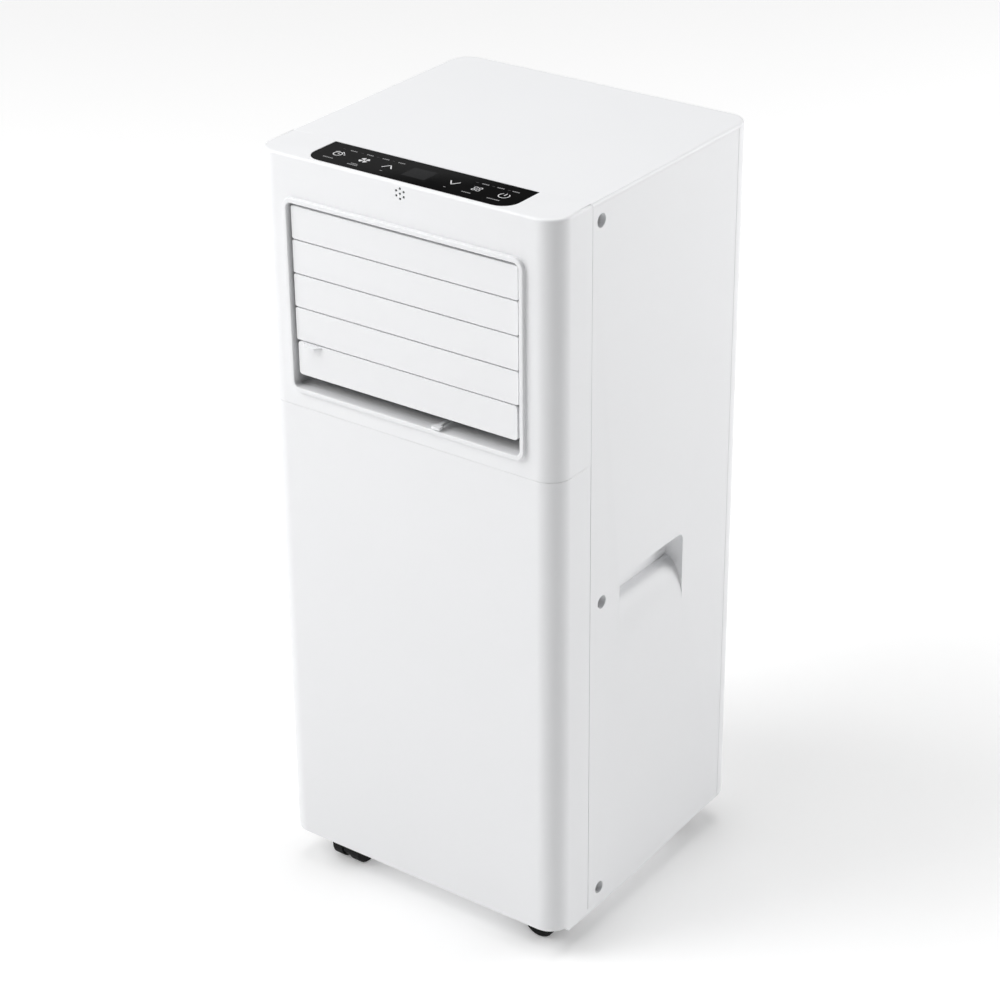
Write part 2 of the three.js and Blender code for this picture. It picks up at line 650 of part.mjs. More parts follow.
function condCaseOutline(inset) {
  const { radius, chimney, shoulder, top } = COND_CASE;
  const { x, z } = COND_BLOWER;
  const r = radius - inset;
  const c = chimney - inset;
  const shape = new THREE.Shape();
  shape.moveTo(x - r, z);
  shape.lineTo(-c, shoulder);
  shape.lineTo(-c, top - inset);
  shape.lineTo(c, top - inset);
  shape.lineTo(c, shoulder);
  shape.lineTo(x + r, z);
  shape.absarc(x, z, r, 0, -Math.PI, true);
  return shape;
}

// Case round the lower wheel, with a chimney up to the exhaust collar.
function condBlowerHousing() {
  const { y0, y1 } = COND_CASE;
  const t = 2;
  const inlet = rod('y', 48, y1 - t - 1, y1 + 1, 20).translate(COND_BLOWER.x, 0, COND_BLOWER.z);
  const shaft = rod('y', 7, y0 - 1, y0 + t + 1, 10).translate(COND_BLOWER.x, 0, COND_BLOWER.z);
  const outlet = rod('y', EXHAUST_BORE, y1 - t - 1, y1 + 1, 24).translate(0, 0, EXHAUST_Z);
  const outer = plateXZ(condCaseOutline(0), y0, y1, 8);
  return cut(outer, plateXZ(condCaseOutline(t), y0 + t, y1 - t, 8), inlet, shaft, outlet);
}

function motor(axis, radius, from, to) {
  const mid = (from + to) / 2;
  return lathe(axis, [
    [0, from], [radius * 0.45, from], [radius * 0.5, from + 4], [radius, from + 8],
    [radius, mid + 6], [radius * 0.8, to - 4], [radius * 0.3, to], [0, to],
  ], 20);
}

function exhaustCollar() {
  const front = COND_CASE.y1 + GAP;
  const flange = INNER_Y - 2;
  const rear = HALF_D + REAR_PROUD;
  const ring = lathe('y', [
    [EXHAUST_BORE, front], [EXHAUST_BORE + 3, front], [EXHAUST_BORE + 3, flange],
    [EXHAUST_R, flange], [EXHAUST_R, rear], [EXHAUST_BORE + 1, rear],
    [EXHAUST_BORE, rear - 1], [EXHAUST_BORE, front],
  ], 30);
  const notches = indices(3).map((i) => {
    const notch = new THREE.BoxGeometry(9, 6, 14);
    notch.translate(0, rear, EXHAUST_BORE);
    return notch.rotateY((i * 2 * Math.PI) / 3 + 0.4);
  });
  return cut(ring, ...notches).translate(0, 0, EXHAUST_Z);
}

// ---- Cooling circuit -----------------------------------------------------------------------
// Finned block: upright fins on both faces of a core.
function coil(halfWidth, z0, z1, fins) {
  const pitch = (2 * halfWidth) / fins;
  const core = [COIL_FRONT_Y + 4, COIL_REAR_Y - 4];
  const near = [];
  const far = [];
  for (let i = 0; i < fins; i += 1) {
    const x = -halfWidth + i * pitch;
    near.push([x, COIL_FRONT_Y], [x + pitch / 2, COIL_FRONT_Y]);
    near.push([x + pitch / 2, core[0]], [x + pitch, core[0]]);
    far.push([x, COIL_REAR_Y], [x + pitch / 2, COIL_REAR_Y]);
    far.push([x + pitch / 2, core[1]], [x + pitch, core[1]]);
  }
  return extrude(polygon([...near, ...far.reverse()]), z0, z1);
}

function compressor() {
  const { x, y, r, bottom, top } = COMPRESSOR;
  const shell = lathe('z', [
    [0, bottom], [r - 12, bottom], [r - 3, bottom + 5], [r, bottom + 14], [r, top - 22],
    [r - 5, top - 10], [r - 22, top], [0, top],
  ], 20);
  const feet = indices(3).map((i) => {
    const foot = block(r - 16, r + 6, -9, 9, bottom - 4, bottom);
    const stud = rod('z', 6, TRAY_FLOOR + GAP, bottom - 2, 8).translate(r, 0, 0);
    return join(foot, stud).rotateZ((i * 2 * Math.PI) / 3 + Math.PI / 2);
  });
  const terminal = rod('z', 9, top - 6, top + 8, 10);
  return join(shell, terminal, ...feet).translate(x, y, 0);
}

const ACCUMULATOR = { x: -4, y: -100, r: 17, bottom: 78, top: 190 };

function accumulator() {
  const { x, y, r, bottom, top } = ACCUMULATOR;
  return lathe('z', [
    [0, bottom], [7, bottom], [r, bottom + 12], [r, top - 12], [7, top], [0, top],
  ], 16).translate(x, y, 0);
}

function dischargePipe() {
  const { x, y, top } = COMPRESSOR;
  return tube([
    [x - 14, y, top + 1], [x - 14, y, top + 24], [x - 30, y + 22, top + 40],
    [-114, 40, top + 40], [-114, 104, top + 36], [-114, 118, top + 14], [-114, 118, 90],
  ], PIPE_R, 26);
}

function suctionPipe() {
  const { x, y, top } = ACCUMULATOR;
  return tube([
    [x, y, top + GAP], [x, y, 350], [x - 12, y + 8, 385], [-100, -70, 392],
    [-126, -50, 408], [-126, -30, 470], [-126, 70, 520], [-122, 117, 540], [-122, 117, 630],
  ], PIPE_R + 1, 34);
}

function capillaryTube() {
  return tube([
    [114, 117, 90], [114, 117, 250], [114, 90, 300], [114, 90, 400], [122, 108, 440],
    [122, 117, 480], [122, 117, 500],
  ], 2, 22, 6);
}

function middleDeck() {
  const x = INNER_X - GAP;
  const y = INNER_Y - GAP;
  const outline = rectangle(-x, x, -y, y, CORNER - WALL);
  outline.holes.push(circleHole(-126, -48, 9));
  outline.holes.push(circleHole(118, 98, 12));
  const plate = extrude(outline, DECK_BOTTOM, DECK_TOP, CORNER_STEPS);
  const curb = rectangle(-116, 116, 100, 137, 4);
  curb.holes.push(rectangleHole(-114, 114, 102, 135, 3));
  const tray = extrude(curb, DECK_TOP - 1, 448, 2);
  return join(plate, tray);
}

// ---- Electrics -----------------------------------------------------------------------------
function electricalBox() {
  const box = block(28, 126, -132, -78, 66, 236);
  const lid = block(25, 129, -135, -129, 63, 239);
  const foot = block(34, 84, -128, -84, TRAY_FLOOR + GAP, 70);
  const hollow = block(30, 124, -129, -80, 68, 234);
  const cableHole = rod('z', 9, 230, 240, 12).translate(110, -104, 0);
  return cut(join(box, lid, foot), hollow, cableHole);
}

function capacitor() {
  return lathe('z', [[0, 236.3], [17, 236.3], [17, 288], [15, 291], [0, 291]], 16).translate(80, -104, 0);
}

function controlCarrier() {
  const outer = block(-106, 106, -INNER_Y + GAP, -98, 683, HEIGHT - WALL - GAP);
  const hollow = block(-104, 104, -INNER_Y + GAP + 2, -100, 685, HEIGHT);
  const window = block(-8, 8, -INNER_Y - 1, -INNER_Y + 4, 686, HEIGHT - WALL - 2);
  return cut(outer, hollow, window);
}

// Board with the remote-control receiver soldered behind the sensor holes.
function controlBoard() {
  const plate = block(-98, 98, -136, -104, 690, 691.6);
  const receiver = block(-5, 5, -141, -135, 687, 694.5);
  return join(plate, receiver);
}

function displayModule() {
  return block(-12, 12, -127.5, -109, 691.9, 697.2);
}

function controlLens() {
  return extrude(lensOutline(0), HEIGHT - LENS.thick, HEIGHT);
}

// ---- Rear fittings -------------------------------------------------------------------------
function filterFrame() {
  const w = FILTER_HALF_W;
  const rows = 16;
  const pitch = 12.4;
  const high = 6.4;
  const start = FILTER_BOTTOM + 13;
  const front = INNER_Y - 6;
  const body = block(-w, w, front, HALF_D, FILTER_BOTTOM, FILTER_TOP);
  const seat = block(-w + 2, w - 2, front - 1, INNER_Y, FILTER_BOTTOM + 2, FILTER_TOP - 2);
  const columns = [[-w + 8, -3], [3, w - 8]];
  const slots = indices(rows).flatMap((i) => columns.map(([x0, x1]) => {
    const z = start + i * pitch;
    return block(x0, x1, INNER_Y - 1, HALF_D + 1, z, z + high);
  }));
  const pull = block(-22, 22, HALF_D - 1, HALF_D + REAR_PROUD, FILTER_TOP - 8, FILTER_TOP - 4);
  return join(cut(body, seat, ...slots), pull);
}

function filterMesh() {
  const x = FILTER_HALF_W - 2.4;
  return block(-x, x, INNER_Y - 4, INNER_Y - GAP, FILTER_BOTTOM + 2.4, FILTER_TOP - 2.4);
}

function cordGland() {
  const { x, z, r } = GLAND;
  const rear = HALF_D + 3.2;
  const ring = lathe('y', [
    [4, INNER_Y - 8], [r, INNER_Y - 8], [r, HALF_D + GAP], [r + 3, HALF_D + GAP],
    [r + 2.4, rear], [4.6, rear], [4, rear - 1], [4, INNER_Y - 8],
  ], 16);
  return ring.translate(x, 0, z);
}

function drainPlug() {
  const r = DRAIN.r - 0.5;
  return lathe('y', [
    [0, 132], [r - 1, 132], [r, 134], [r, HALF_D + GAP], [r + 3, HALF_D + GAP],
    [r + 3, HALF_D + 2], [r + 1, HALF_D + 3.2], [0, HALF_D + 3.2],
  ], 12);
}

function sideScrew() {
  const seat = HALF_W - POCKET_DEPTH + 0.2;
  return lathe('x', [
    [0, seat - 9], [1.8, seat - 6], [1.8, seat], [4.2, seat],
    [4.2, seat + 1], [2.8, seat + 2.4], [0, seat + 2.8],
  ], 10);
}

// ---- Assembly ------------------------------------------------------------------------------
const airConditioner = new THREE.Group();

function addCasing(group) {
  group.add(part('front_upper_panel', 'shell', frontUpperPanel()));
  group.add(part('front_lower_panel', 'shell', frontLowerPanel()));
  group.add(part('side_panel_left', 'shell', sidePanel(-1)));
  group.add(part('side_panel_right', 'shell', sidePanel(1)));
  group.add(part('top_cover', 'shell', topCover()));
  group.add(part('rear_panel', 'shell', rearPanel()));
  group.add(part('base_tray', 'shell', baseTray()));
  for (const screw of SCREWS) {
    const right = part(`side_screw_right_${screw.place}`, 'steel', sideScrew());
    const left = part(`side_screw_left_${screw.place}`, 'steel', sideScrew().scale(-1, 1, 1));
    right.position.set(0, screw.y, screw.z);
    left.position.set(0, screw.y, screw.z);
    group.add(right, left);
  }
}

function addCastors(group) {
  for (const castor of CASTOR_PLACES) {
    const swivel = new THREE.Group();
    swivel.position.set(castor.x, castor.y, 0);
    swivel.rotation.z = castor.turn;
    swivel.add(part(`castor_fork_${castor.name}`, 'castor', castorFork()));
    const hub = [0, -WHEEL_TRAIL, WHEEL_R];
    swivel.add(part(`castor_wheels_${castor.name}`, 'castor', castorWheels(), hub));
    group.add(swivel);
  }
}

function addOutlet(group) {
  group.add(part('outlet_duct', 'duct', outletDuct()));
  for (const i of indices(BLADE_COUNT)) {
    const isLast = i === BLADE_COUNT - 1;
    const place = [0, BLADE_AXIS_Y, bladeAxisZ(i)];
    group.add(part(`louvre_blade_${i + 1}`, 'louvre', louvreBlade(isLast), place));
  }
  const crankPin = [0, BLADE_AXIS_Y + CRANK_LENGTH, bladeAxisZ(0)];
  group.add(part('louvre_link', 'duct', louvreLink(), crankPin));
  for (const i of indices(VANE_COUNT)) {
    group.add(part(`vane_${i + 1}`, 'duct', vane(), [vaneX(i), VANE_AXIS_Y, 0]));
  }
  group.add(part('vane_link', 'louvre', vaneLink()));
}

function addBlowers(group) {
  const evap = EVAP_BLOWER;
  const evapDrum = { radius: evap.r, from: -evap.halfWidth, to: evap.halfWidth, slats: 12, discAt: 0 };
  const evapWheel = fanWheel('x', { ...evapDrum, shaft: [-108, 113] });
  group.add(part('evaporator_blower_housing', 'foam', evapBlowerHousing()));
  group.add(part('evaporator_blower_wheel', 'black', evapWheel, [0, evap.y, evap.z]));
  const evapMotor = motor('x', 34, 113.5, 144);
  group.add(part('evaporator_blower_motor', 'steel', evapMotor, [0, evap.y, evap.z]));
  const cond = COND_BLOWER;
  const condDrum = { radius: cond.r, from: cond.y0, to: cond.y1, slats: 12, discAt: cond.y0 + 16 };
  const condWheel = fanWheel('y', { ...condDrum, shaft: [37.6, 60] });
  group.add(part('condenser_blower_housing', 'black', condBlowerHousing()));
  group.add(part('condenser_blower_wheel', 'black', condWheel, [cond.x, 0, cond.z]));
  const condMotor = motor('y', 36, -10, 37.2);
  group.add(part('condenser_blower_motor', 'steel', condMotor, [cond.x, 0, cond.z]));
}

function addCooling(group) {
  group.add(part('evaporator_coil', 'coil', coil(110, 450, 662, 14)));
  group.add(part('condenser_coil', 'coil', coil(106, 62, 266, 14)));
  group.add(part('compressor', 'black', compressor()));
  group.add(part('accumulator', 'black', accumulator()));
  group.add(part('discharge_pipe', 'copper', dischargePipe()));
  group.add(part('suction_pipe', 'copper', suctionPipe()));
  group.add(part('capillary_tube', 'copper', capillaryTube()));
  group.add(part('middle_deck', 'duct', middleDeck()));
}

function addElectrics(group) {
  group.add(part('electrical_box', 'steel', electricalBox()));
  group.add(part('capacitor', 'steel', capacitor()));
  group.add(part('control_carrier', 'duct', controlCarrier()));
  group.add(part('control_board', 'board', controlBoard()));
  group.add(part('display_module', 'black', displayModule()));
  group.add(part('control_lens', 'lens', controlLens()));
}

function addRearFittings(group) {
  group.add(part('filter_frame', 'shell', filterFrame()));
  group.add(part('filter_mesh', 'mesh', filterMesh()));
  group.add(part('exhaust_collar', 'shell', exhaustCollar()));
  group.add(part('cord_gland', 'black', cordGland()));
  group.add(part('drain_plug', 'black', drainPlug(), [DRAIN.x, 0, DRAIN.z]));
}

addCasing(airConditioner);
addCastors(airConditioner);
addOutlet(airConditioner);
addBlowers(airConditioner);
addCooling(airConditioner);
addElectrics(airConditioner);
addRearFittings(airConditioner);

export default airConditioner;
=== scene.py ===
"""Looks of the portable air conditioner, built round its CAD frame. Lengths are in metres."""

import json
import math

import bmesh
import bpy
from mathutils import Matrix, Vector

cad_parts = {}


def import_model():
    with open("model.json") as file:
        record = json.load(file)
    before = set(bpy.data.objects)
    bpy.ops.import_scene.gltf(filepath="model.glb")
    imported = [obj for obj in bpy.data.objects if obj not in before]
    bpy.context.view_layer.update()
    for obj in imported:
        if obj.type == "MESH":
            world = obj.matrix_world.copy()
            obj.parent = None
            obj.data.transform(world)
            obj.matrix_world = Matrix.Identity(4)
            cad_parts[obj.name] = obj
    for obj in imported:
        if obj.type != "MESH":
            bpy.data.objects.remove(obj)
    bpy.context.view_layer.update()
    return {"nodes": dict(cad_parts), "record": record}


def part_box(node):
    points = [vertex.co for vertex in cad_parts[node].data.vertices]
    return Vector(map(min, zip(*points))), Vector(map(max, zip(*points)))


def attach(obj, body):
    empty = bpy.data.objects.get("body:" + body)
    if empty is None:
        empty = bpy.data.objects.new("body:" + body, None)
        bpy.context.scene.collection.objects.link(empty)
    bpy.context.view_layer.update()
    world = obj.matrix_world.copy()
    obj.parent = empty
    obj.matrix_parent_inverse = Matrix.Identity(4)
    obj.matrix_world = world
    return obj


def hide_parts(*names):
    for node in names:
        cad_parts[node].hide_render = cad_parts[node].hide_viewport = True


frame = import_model()
SCENE = bpy.context.scene
MM = 0.001

CASING_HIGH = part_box("top_cover")[1]
HALF_W = CASING_HIGH.x
HALF_D = CASING_HIGH.y
TOP = CASING_HIGH.z
WALL = 2.5 * MM
RIM_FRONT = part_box("front_upper_panel")[0].y


# ---- Materials -----------------------------------------------------------------------------
class Nodes:
    """A material's node tree with short calls for the nodes used here."""

    def __init__(self, name):
        self.material = bpy.data.materials.new(name)
        self.material.use_nodes = True
        self.tree = self.material.node_tree
        self.shader = self.tree.nodes["Principled BSDF"]
        self.coords = self.new("ShaderNodeTexCoord").outputs["Object"]

    def new(self, kind, **settings):
        node = self.tree.nodes.new(kind)
        for name, value in settings.items():
            setattr(node, name, value)
        return node

    def link(self, source, target):
        self.tree.links.new(source, target)

    def noise(self, scale, detail=2.0, roughness=0.5):
        node = self.new("ShaderNodeTexNoise")
        node.inputs["Scale"].default_value = scale
        node.inputs["Detail"].default_value = detail
        node.inputs["Roughness"].default_value = roughness
        self.link(self.coords, node.inputs["Vector"])
        return node.outputs["Fac"]

    def spread(self, value, low, high, start=0.3, stop=0.7):
        node = self.new("ShaderNodeMapRange")
        node.inputs["From Min"].default_value = start
        node.inputs["From Max"].default_value = stop
        node.inputs["To Min"].default_value = low
        node.inputs["To Max"].default_value = high
        self.link(value, node.inputs["Value"])
        return node.outputs["Result"]

    def ramp(self, value, colours):
        node = self.new("ShaderNodeValToRGB")
        first, last = node.color_ramp.elements
        first.color = (*colours[0], 1)
        last.color = (*colours[1], 1)
        self.link(value, node.inputs["Fac"])
        return node.outputs["Color"]

    def bump(self, height, strength, distance):
        node = self.new("ShaderNodeBump")
        node.inputs["Strength"].default_value = strength
        node.inputs["Distance"].default_value = distance
        self.link(height, node.inputs["Height"])
        return node.outputs["Normal"]

    def edges_worn_and_lit(self, base, worn_and_lit_tone, amount):
        """Base colour made slightly lighter along convex edges: partly rubbed wear, partly a
        painted highlight.
        """
        geometry = self.new("ShaderNodeNewGeometry")
        # Painted highlight as well as wear: convex edges, found by pointiness, are lightened.
        mask = self.spread(geometry.outputs["Pointiness"], 0.0, amount, 0.51, 0.56)
        mix = self.new("ShaderNodeMix", data_type="RGBA")
        self.link(mask, mix.inputs["Factor"])
        self.link(base, mix.inputs["A"])
        mix.inputs["B"].default_value = (*worn_and_lit_tone, 1)
        return mix.outputs["Result"]


def moulded_plastic(
    name, colour, roughness=0.42, grain=900.0, bump=0.12, vary=0.012, rub_and_highlight=0.35, specular=0.5,
):
    """Moulded plastic: fine spark-eroded grain, faint tone drift, and convex edges made lighter,
    partly as rubbed wear and partly as a painted highlight.
    """
    n = Nodes(name)
    drift = n.noise(9.0, 3.0)
    dark = [max(c * (1 - vary), 0) for c in colour]
    light = [min(c * (1 + vary), 1) for c in colour]
    tone = n.ramp(drift, (dark, light))
    # Lighter edge tone: partly rubbed wear, partly a painted highlight.
    worn_and_lit_tone = [min(c * 1.05 + 0.01, 1) for c in colour]
    n.link(n.edges_worn_and_lit(tone, worn_and_lit_tone, rub_and_highlight), n.shader.inputs["Base Color"])
    fine = n.noise(grain, 2.0, 0.6)
    n.link(n.spread(fine, roughness - 0.05, roughness + 0.06), n.shader.inputs["Roughness"])
    n.link(n.bump(fine, bump, 0.05 * MM), n.shader.inputs["Normal"])
    n.shader.inputs["IOR"].default_value = 1.5
    n.shader.inputs["Specular IOR Level"].default_value = specular
    return n.material


def gloss_black():
    """Polished black acrylic with the faintest haze of handling."""
    n = Nodes("lens_gloss")
    haze = n.noise(35.0, 4.0)
    tone = n.ramp(haze, ((0.003, 0.003, 0.0032), (0.005, 0.005, 0.0052)))
    n.link(tone, n.shader.inputs["Base Color"])
    n.link(n.spread(haze, 0.03, 0.06), n.shader.inputs["Roughness"])
    n.link(n.bump(n.noise(60.0), 0.02, 0.02 * MM), n.shader.inputs["Normal"])
    n.shader.inputs["IOR"].default_value = 1.49
    return n.material


def metal(name, colour, roughness, grain=400.0, stretch=(1, 1, 1)):
    """Bare metal with drawn or plated grain along one direction."""
    n = Nodes(name)
    mapping = n.new("ShaderNodeMapping")
    mapping.inputs["Scale"].default_value = stretch
    n.link(n.coords, mapping.inputs["Vector"])
    n.coords = mapping.outputs["Vector"]
    fine = n.noise(grain, 3.0, 0.6)
    dark = [c * 0.88 for c in colour]
    n.link(n.ramp(fine, (dark, colour)), n.shader.inputs["Base Color"])
    n.link(n.spread(fine, roughness - 0.08, roughness + 0.1), n.shader.inputs["Roughness"])
    n.link(n.bump(fine, 0.15, 0.03 * MM), n.shader.inputs["Normal"])
    n.shader.inputs["Metallic"].default_value = 1.0
    return n.material


def printed_ink(name, colour, glow=0.0):
    """Screen-printed ink, very slightly uneven."""
    n = Nodes(name)
    uneven = n.noise(2500.0, 2.0)
    dark = [c * 0.9 for c in colour]
    n.link(n.ramp(uneven, (dark, colour)), n.shader.inputs["Base Color"])
    n.link(n.spread(uneven, 0.45, 0.6), n.shader.inputs["Roughness"])
    if glow:
        n.link(n.ramp(uneven, (dark, colour)), n.shader.inputs["Emission Color"])
        n.shader.inputs["Emission Strength"].default_value = glow
    return n.material


def woven_mesh():
    """Fine dark filter weave: crossed wave bands over the surface."""
    n = Nodes("filter_weave")
    waves = []
    for direction in ("X", "Z"):
        wave = n.new("ShaderNodeTexWave", bands_direction=direction)
        wave.inputs["Scale"].default_value = 260.0
        n.link(n.coords, wave.inputs["Vector"])
        waves.append(wave.outputs["Fac"])
    join = n.new("ShaderNodeMath", operation="MAXIMUM")
    n.link(waves[0], join.inputs[0])
    n.link(waves[1], join.inputs[1])
    weave = join.outputs["Value"]
    tone = n.ramp(weave, ((0.006, 0.006, 0.007), (0.09, 0.095, 0.1)))
    n.link(tone, n.shader.inputs["Base Color"])
    n.link(n.spread(weave, 0.6, 0.85, 0.0, 1.0), n.shader.inputs["Roughness"])
    n.link(n.bump(weave, 0.6, 0.2 * MM), n.shader.inputs["Normal"])
    return n.material


def smoked_window():
    """The display's window: the same gloss over a slightly paler ground with a fine dot matrix."""
    n = Nodes("display_smoke")
    dots = n.new("ShaderNodeTexVoronoi")
    dots.inputs["Scale"].default_value = 1400.0
    dots.inputs["Randomness"].default_value = 0.0
    n.link(n.coords, dots.inputs["Vector"])
    n.link(n.ramp(dots.outputs["Distance"], ((0.024, 0.024, 0.025), (0.018, 0.018, 0.019))),
           n.shader.inputs["Base Color"])
    n.link(n.spread(n.noise(35.0, 4.0), 0.04, 0.08), n.shader.inputs["Roughness"])
    n.shader.inputs["IOR"].default_value = 1.49
    return n.material


SHELL_TONE = (0.845, 0.85, 0.862)
MATERIALS = {
    "shell": moulded_plastic("shell_plastic", SHELL_TONE, 0.40, 1900.0, 0.10),
    "louvre": moulded_plastic("louvre_plastic", SHELL_TONE, 0.42, 1900.0, 0.08),
    "duct": moulded_plastic("duct_plastic", (0.72, 0.725, 0.735), 0.48, 1500.0, 0.12),
    "castor": moulded_plastic(
        "castor_nylon", (0.005, 0.005, 0.0053), 0.6, 1200.0, 0.2, 0.15, rub_and_highlight=0.1, specular=0.16,
    ),
    "black": moulded_plastic("black_plastic", (0.02, 0.02, 0.021), 0.5, 1200.0, 0.2, 0.15, 0.5),
    "compressor": moulded_plastic(
        "black_enamel", (0.016, 0.016, 0.017), 0.3, 300.0, 0.08, 0.2, rub_and_highlight=0.6,
    ),
    "board": moulded_plastic("solder_mask", (0.02, 0.11, 0.04), 0.35, 700.0, 0.1, 0.1, 0.2),
    "foam": moulded_plastic("bead_foam", (0.74, 0.735, 0.71), 0.8, 260.0, 0.5, 0.04, 0.2),
    "lens": gloss_black(),
    "steel": metal("zinc_plate", (0.5, 0.51, 0.52), 0.34, 500.0),
    "coil": metal("fin_aluminium", (0.66, 0.67, 0.68), 0.38, 300.0, (1, 1, 0.1)),
    "copper": metal("drawn_copper", (0.72, 0.36, 0.2), 0.3, 300.0, (1, 1, 0.15)),
    "mesh": woven_mesh(),
}
SCREW_STEEL = metal("black_zinc", (0.025, 0.025, 0.026), 0.4, 900.0)
# Painted light: the outlet channel gets a paler white than the shell, to lift the shade deep
# inside the outlet.
OUTLET_PAINTED_LIGHT_WHITE = moulded_plastic("outlet_plastic_painted_light", (0.92, 0.925, 0.935), 0.45, 1900.0, 0.08)
INK = printed_ink("white_print", (0.72, 0.72, 0.73))
LABEL_INK = printed_ink("label_print", (0.32, 0.32, 0.325))
DIM_INK = printed_ink("lamp_print", (0.04, 0.04, 0.042))
WINDOW = smoked_window()
SLOTS = {row["node"]: row["material_slot"] for row in frame["record"]["subparts"]}
BODIES = {n: body for body, nodes in frame["record"]["behaviour"]["bodies"].items() for n in nodes}


# ---- Mesh helpers --------------------------------------------------------------------------
SMOOTH_ANGLE = math.radians(35)
MERGE = 0.002 * MM


def to_object(bm, name, material):
    """Turns a bmesh into an object of one material in the scene."""
    mesh = bpy.data.meshes.new(name)
    bm.to_mesh(mesh)
    bm.free()
    mesh.materials.clear()
    mesh.materials.append(material)
    obj = bpy.data.objects.new(name, mesh)
    SCENE.collection.objects.link(obj)
    return obj


def finish_piece(bm, name, material, body, nodes=()):
    """Turns a bmesh into a smooth-shaded piece that rides on a body and stands for CAD nodes."""
    piece = to_object(bm, name, material)
    mesh = piece.data
    mesh.polygons.foreach_set("use_smooth", [True] * len(mesh.polygons))
    mesh.set_sharp_from_angle(angle=SMOOTH_ANGLE)
    weighted = piece.modifiers.new("normals", "WEIGHTED_NORMAL")
    weighted.keep_sharp = True
    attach(piece, body)
    if nodes:
        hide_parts(*nodes)
    return piece


def node_bmesh(node, reshape=None):
    """The CAD node's mesh with its triangles merged back into whole faces."""
    bm = bmesh.new()
    bm.from_mesh(frame["nodes"][node].data)
    bmesh.ops.remove_doubles(bm, verts=bm.verts, dist=MERGE)
    if reshape:
        for vert in bm.verts:
            reshape(vert.co)
        bmesh.ops.remove_doubles(bm, verts=bm.verts, dist=MERGE)
        bmesh.ops.dissolve_degenerate(bm, edges=bm.edges, dist=MERGE)
    flat = math.radians(0.6)
    bmesh.ops.dissolve_limit(bm, angle_limit=flat, verts=bm.verts, edges=bm.edges)
    return bm


def round_edges(bm, width, segments, chosen):
    """Bevels the sharp edges for which chosen(edge) holds."""
    edges = []
    for edge in bm.edges:
        if len(edge.link_faces) == 2 and edge.calc_face_angle(0) > SMOOTH_ANGLE and chosen(edge):
            edges.append(edge)
    if edges:
        bmesh.ops.bevel(
            bm, geom=edges, offset=width, offset_type="OFFSET", segments=segments,
            profile=0.5, affect="EDGES", clamp_overlap=True, loop_slide=True,
        )


def both(edge, test):
    return all(test(v.co) for v in edge.verts)


CORNER = 20 * MM


def on_outline(co, tolerance=0.25 * MM):
    """True on the casing's outer wall: a rectangle with rounded upright corners."""
    x = abs(co.x) - (HALF_W - CORNER)
    y = abs(co.y) - (HALF_D - CORNER)
    outside = math.hypot(max(x, 0), max(y, 0)) + min(max(x, y), 0)
    return outside - CORNER > -tolerance


def at_top(co):
    return co.z > TOP - 0.05 * MM


# ---- Casing --------------------------------------------------------------------------------
TOP_ROUND = 2.6 * MM
SEAM_ROUND = 0.3 * MM
SCREW_SLIM = 0.74
SCREW_ROUND = 0.25 * MM
SLAT_ROUND = 0.5 * MM
LEVER_ROUND = 0.35 * MM
DUCT_ROUND = 0.3 * MM
SEAM_CLOSE = 0.12 * MM  # each panel reaches this far into the seam, so that seams read thin
AT_END = 0.01 * MM  # a point this near to a panel's end is part of it


def outward(co):
    """The casing wall's outward direction in plan, next to a point on it."""
    x = max(abs(co.x) - (HALF_W - CORNER), 0)
    y = max(abs(co.y) - (HALF_D - CORNER), 0)
    return Vector((math.copysign(x, co.x), math.copysign(y, co.y), 0)).normalized()


def round_top(bm):
    """Cuts level lines into the wall under the top, and draws each in along a quarter circle."""
    steps = 6
    for i in range(steps):
        level = TOP - TOP_ROUND * (1 - math.sin(math.radians(90 * i / steps)))
        bmesh.ops.bisect_plane(
            bm, geom=bm.verts[:] + bm.edges[:] + bm.faces[:],
            plane_co=(0, 0, level), plane_no=(0, 0, 1), dist=MERGE,
        )
    for vert in bm.verts:
        rise = vert.co.z - (TOP - TOP_ROUND)
        if rise > 0 and on_outline(vert.co):
            inward = TOP_ROUND - math.sqrt(max(TOP_ROUND ** 2 - rise ** 2, 0))
            vert.co -= outward(vert.co) * inward


def outer_skin_edge(edge):
    """Long convex edges that show on the outside of a panel."""
    return both(edge, lambda co: on_outline(co) and not at_top(co)) and edge.is_convex


def rear_skin_edge(edge):
    """The same for the rear panel, leaving out the openings in its flat middle."""
    return outer_skin_edge(edge) and both(edge, lambda co: abs(co.x) > HALF_W - CORNER - MM)


def close_seam(low=None, high=None):
    """Moves a panel's lower or upper end a little way into the seam beside it."""
    def reshape(co):
        if high is not None and co.z > high - AT_END:
            co.z += SEAM_CLOSE
        elif low is not None and co.z < low + AT_END:
            co.z -= SEAM_CLOSE
    return reshape


def front_upper_panel():
    low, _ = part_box("front_upper_panel")
    face = -HALF_D

    def reshape(co):
        """Presses the outlet's rim flat into the face, and closes up the seam below."""
        if co.y < face:
            co.y = face
        if co.z < low.z + AT_END:
            co.z -= SEAM_CLOSE

    bm = node_bmesh("front_upper_panel", reshape)
    round_top(bm)
    return finish_piece(bm, "upper_front_shell", MATERIALS["shell"], "root", ["front_upper_panel"])


def plain_panel(node, name, reshape=None, rounded=outer_skin_edge):
    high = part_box(node)[1]
    bm = node_bmesh(node, reshape)
    if at_top(high):
        round_top(bm)
    else:
        round_edges(bm, SEAM_ROUND, 2, rounded)
    return finish_piece(bm, name, MATERIALS["shell"], "root", [node])


def softened(node, name, width, material=None):
    """A CAD node with every sharp edge rounded a little."""
    bm = node_bmesh(node)
    round_edges(bm, width, 3, lambda e: True)
    return finish_piece(bm, name, material or MATERIALS[SLOTS[node]], BODIES[node], [node])


